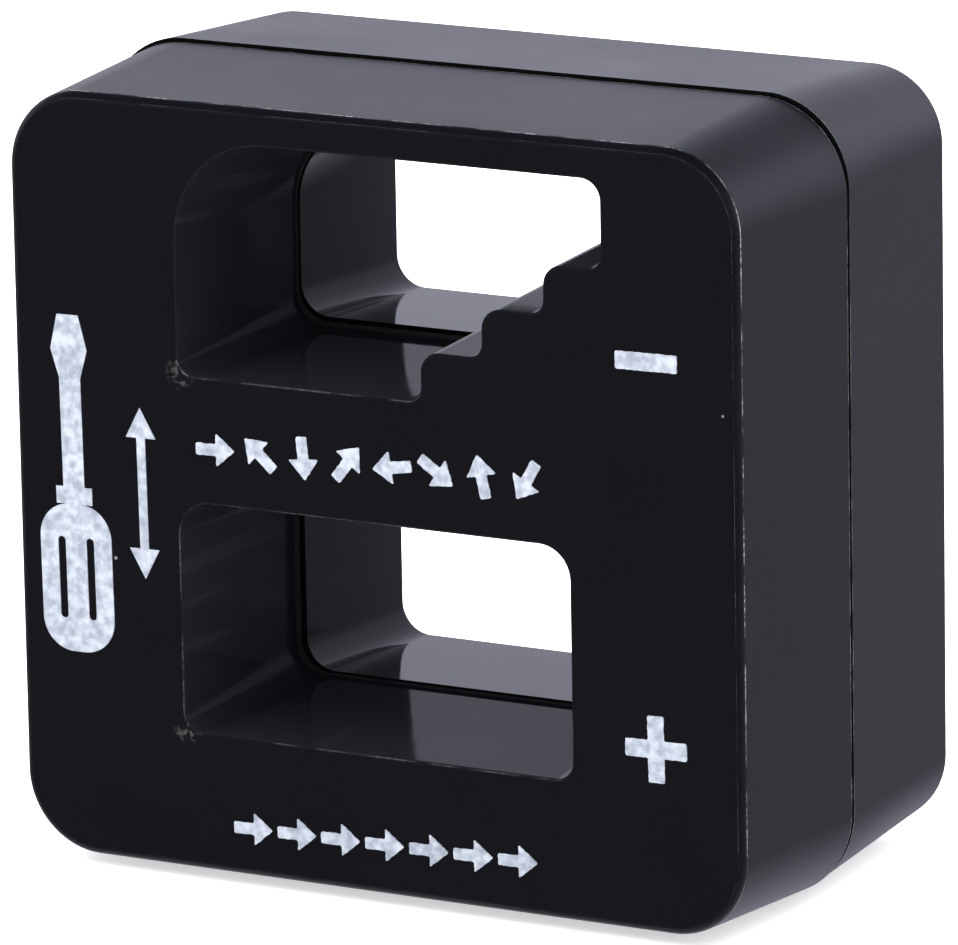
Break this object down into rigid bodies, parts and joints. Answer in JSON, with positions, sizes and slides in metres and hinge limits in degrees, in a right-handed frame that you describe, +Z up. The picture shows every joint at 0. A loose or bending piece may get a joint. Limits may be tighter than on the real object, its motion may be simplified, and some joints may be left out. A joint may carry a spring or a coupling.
{
  "type": "demagnetizer",
  "caption": "Free-standing magnetizer and demagnetizer block: glued plastic half shells with a plain window between ferrite magnets and a stepped window above it.",
  "frame": {"origin": "under the middle of the block's box, at the level of its lowest edge, which is the seam", "axes": "+Z up, +X to the right of the printed front face, +Y from the printed front face to the rear face"},
  "size_m": [0.052, 0.0281, 0.0502],
  "materials": {
    "shell": "fine satin moulded black plastic, glossier inside the windows",
    "ferrite": "dark grey sintered ferrite, ground flat on its faces",
    "foam": "fine closed-cell foam",
    "hot_melt": "translucent hot-melt adhesive",
    "cement": "dark solvent cement",
    "ink": "flat white pad print"
  },
  "bodies": {
    "root": {"front_shell": "shell", "rear_shell": "shell", "left_magnet": "ferrite", "right_magnet": "ferrite", "left_magnet_pad": "foam", "right_magnet_pad": "foam", "left_magnet_adhesive": "hot_melt", "right_magnet_adhesive": "hot_melt", "outer_seam_cement": "cement", "stepped_window_cement": "cement", "lower_window_cement": "cement", "plus_mark": "ink", "minus_mark": "ink", "demagnetize_legend": "ink", "magnetize_legend": "ink", "screwdriver_mark": "ink", "stroke_mark": "ink"}
  },
  "joints": []
}
